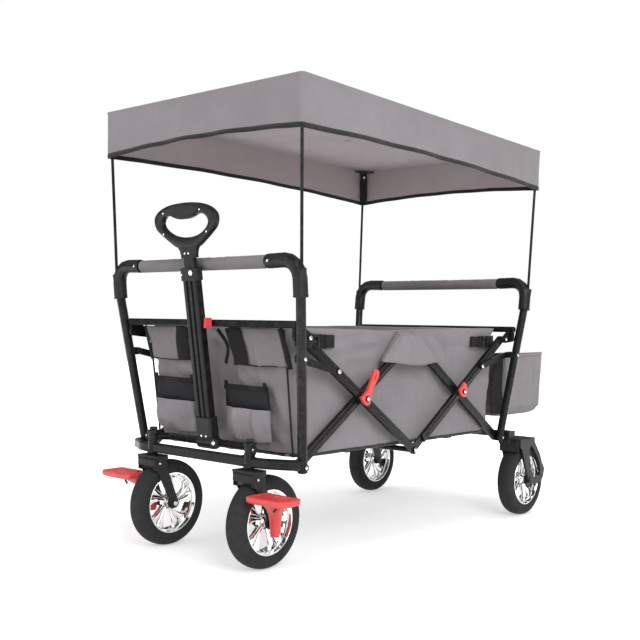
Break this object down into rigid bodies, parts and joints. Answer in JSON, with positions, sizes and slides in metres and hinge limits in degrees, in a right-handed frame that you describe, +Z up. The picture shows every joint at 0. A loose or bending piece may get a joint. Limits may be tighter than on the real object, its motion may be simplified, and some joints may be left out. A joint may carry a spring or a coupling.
{
  "type": "folding wagon",
  "caption": "Folding cloth cargo wagon with a scissor frame, sun roof, push bars, telescopic pull handle, swivel front casters with brake pedals and a rear storage bag.",
  "frame": {"origin": "on the floor under the middle of the whole wagon's box", "axes": "+Z up, -Y towards the pull handle (the front), +X to the wagon's left side"},
  "size_m": [0.656, 1.2894, 1.068],
  "materials": {
    "black_steel": "satin black powder coat",
    "black_plastic": "matte black plastic",
    "grey_plastic": "matte charcoal plastic",
    "red_plastic": "semi gloss red plastic",
    "grey_fabric": "warm mid grey coated polyester weave",
    "black_fabric": "black webbing and binding",
    "bright_steel": "zinc plated steel",
    "rim_chrome": "chromed spoked rim",
    "tyre_rubber": "dark charcoal foam tyre"
  },
  "bodies": {
    "root": {"centre_tube": "black_steel", "tub": "grey_fabric", "canopy": "grey_fabric"},
    "outer_bars_front": {"outer_bar_front_left": "black_steel", "outer_bar_front_right": "black_steel"},
    "outer_bars_rear": {"outer_bar_rear_left": "black_steel", "outer_bar_rear_right": "black_steel", "latch_catch_rear_left": "red_plastic", "latch_catch_rear_right": "red_plastic"},
    "inner_bars_front": {"inner_bar_front_left": "black_steel", "inner_bar_front_right": "black_steel"},
    "inner_bars_rear": {"inner_bar_rear_left": "black_steel", "inner_bar_rear_right": "black_steel"},
    "front_frame": {"post_front_left": "black_steel", "post_front_right": "black_steel", "lower_frame_front": "black_steel", "elbow_front_left": "black_plastic", "elbow_front_right": "black_plastic", "push_tube_front": "black_steel", "push_sleeve_front": "grey_fabric", "upper_crossbar_front": "black_steel", "handle_clip": "red_plastic", "canopy_rod_front_left": "black_steel", "canopy_rod_front_right": "black_steel"},
    "rear_frame": {"post_rear_left": "black_steel", "post_rear_right": "black_steel", "lower_frame_rear": "grey_plastic", "elbow_rear_left": "black_plastic", "elbow_rear_right": "black_plastic", "push_tube_rear": "black_steel", "push_sleeve_rear": "grey_fabric", "upper_crossbar_rear": "black_steel", "rear_bag": "grey_fabric", "canopy_rod_rear_left": "black_steel", "canopy_rod_rear_right": "black_steel"},
    "stays_front": {"stay_link_front_left": "black_steel", "stay_link_front_right": "black_steel"},
    "stays_rear": {"stay_link_rear_left": "black_steel", "stay_link_rear_right": "black_steel"},
    "latch_left": {"latch_lever_left": "red_plastic"},
    "latch_right": {"latch_lever_right": "red_plastic"},
    "handle": {"handle_rail": "black_steel", "handle_foot": "black_plastic", "handle_collar": "black_plastic"},
    "handle_extension": {"handle_inner_tube": "black_steel", "handle_grip": "black_plastic"},
    "handle_lock_button": {"handle_button": "bright_steel"},
    "caster_left": {"caster_fork_left": "black_plastic"},
    "caster_right": {"caster_fork_right": "black_plastic"},
    "wheel_front_left": {"tyre_front_left": "tyre_rubber", "rim_front_left": "rim_chrome"},
    "wheel_front_right": {"tyre_front_right": "tyre_rubber", "rim_front_right": "rim_chrome"},
    "wheel_rear_left": {"tyre_rear_left": "tyre_rubber", "rim_rear_left": "rim_chrome"},
    "wheel_rear_right": {"tyre_rear_right": "tyre_rubber", "rim_rear_right": "rim_chrome"},
    "brake_left": {"brake_pedal_left": "red_plastic"},
    "brake_right": {"brake_pedal_right": "red_plastic"}
  },
  "joints": [
    {"name": "fold", "type": "hinge", "parent": "root", "child": "outer_bars_front", "pos_m": [0, -0.08231, 0.234], "axis": [-1, 0, 0], "range_deg": [0, 42], "deforming": ["tub", "canopy"]},
    {"name": "front_crossing", "type": "hinge", "parent": "outer_bars_front", "child": "inner_bars_front", "pos_m": [0, -0.29731, 0.37362], "axis": [-1, 0, 0], "range_deg": [-84, 0]},
    {"name": "front_foot", "type": "hinge", "parent": "inner_bars_front", "child": "front_frame", "pos_m": [0, -0.51231, 0.234], "axis": [-1, 0, 0], "range_deg": [0, 42]},
    {"name": "rear_fold", "type": "hinge", "parent": "root", "child": "outer_bars_rear", "pos_m": [0, -0.08231, 0.234], "axis": [1, 0, 0], "range_deg": [0, 42]},
    {"name": "rear_crossing", "type": "hinge", "parent": "outer_bars_rear", "child": "inner_bars_rear", "pos_m": [0, 0.13269, 0.37362], "axis": [1, 0, 0], "range_deg": [-84, 0]},
    {"name": "rear_foot", "type": "hinge", "parent": "inner_bars_rear", "child": "rear_frame", "pos_m": [0, 0.34769, 0.234], "axis": [1, 0, 0], "range_deg": [0, 42]},
    {"name": "front_stay_pivot", "type": "hinge", "parent": "front_frame", "child": "stays_front", "pos_m": [0, -0.53752, 0.47044], "axis": [1, 0, 0], "range_deg": [0, 77.42]},
    {"name": "rear_stay_pivot", "type": "hinge", "parent": "rear_frame", "child": "stays_rear", "pos_m": [0, 0.37289, 0.47044], "axis": [-1, 0, 0], "range_deg": [0, 77.42]},
    {"name": "latch_lever_left_turn", "type": "hinge", "parent": "outer_bars_front", "child": "latch_left", "pos_m": [0, -0.29731, 0.37362], "axis": [1, 0, 0], "range_deg": [-25, 0]},
    {"name": "latch_lever_right_turn", "type": "hinge", "parent": "outer_bars_front", "child": "latch_right", "pos_m": [0, -0.29731, 0.37362], "axis": [1, 0, 0], "range_deg": [-25, 0]},
    {"name": "handle_tilt", "type": "hinge", "parent": "front_frame", "child": "handle", "pos_m": [0, -0.54431, 0.268], "axis": [1, 0, 0], "range_deg": [0, 75]},
    {"name": "handle_extend", "type": "slide", "parent": "handle", "child": "handle_extension", "axis": [0, -0.1633, 0.9866], "range_m": [0, 0.22]},
    {"name": "handle_button_press", "type": "slide", "parent": "handle", "child": "handle_lock_button", "axis": [0, 0.9866, 0.1633], "range_m": [0, 0.003], "stiffness_N_per_m": 400},
    {"name": "caster_left_swivel", "type": "hinge", "parent": "front_frame", "child": "caster_left", "pos_m": [0.163, -0.57331, 0.2275], "axis": [0, 0, 1], "continuous": true},
    {"name": "wheel_front_left_spin", "type": "hinge", "parent": "caster_left", "child": "wheel_front_left", "pos_m": [0.163, -0.52531, 0.104], "axis": [1, 0, 0], "continuous": true},
    {"name": "brake_left_press", "type": "hinge", "parent": "caster_left", "child": "brake_left", "pos_m": [0.163, -0.52531, 0.104], "axis": [1, 0, 0], "range_deg": [0, 18]},
    {"name": "wheel_rear_left_spin", "type": "hinge", "parent": "rear_frame", "child": "wheel_rear_left", "pos_m": [0.274, 0.45669, 0.104], "axis": [1, 0, 0], "continuous": true},
    {"name": "caster_right_swivel", "type": "hinge", "parent": "front_frame", "child": "caster_right", "pos_m": [-0.163, -0.57331, 0.2275], "axis": [0, 0, 1], "continuous": true},
    {"name": "wheel_front_right_spin", "type": "hinge", "parent": "caster_right", "child": "wheel_front_right", "pos_m": [-0.163, -0.52531, 0.104], "axis": [1, 0, 0], "continuous": true},
    {"name": "brake_right_press", "type": "hinge", "parent": "caster_right", "child": "brake_right", "pos_m": [-0.163, -0.52531, 0.104], "axis": [1, 0, 0], "range_deg": [0, 18]},
    {"name": "wheel_rear_right_spin", "type": "hinge", "parent": "rear_frame", "child": "wheel_rear_right", "pos_m": [-0.274, 0.45669, 0.104], "axis": [1, 0, 0], "continuous": true}
  ],
  "couplings": [
    {"joint": "front_crossing", "follows": "fold", "ratio": -2},
    {"joint": "front_foot", "follows": "fold", "ratio": 1},
    {"joint": "rear_fold", "follows": "fold", "ratio": 1},
    {"joint": "rear_crossing", "follows": "fold", "ratio": -2},
    {"joint": "rear_foot", "follows": "fold", "ratio": 1},
    {"joint": "front_stay_pivot", "follows": "fold", "ratio": 1.8432},
    {"joint": "rear_stay_pivot", "follows": "fold", "ratio": 1.8432}
  ]
}
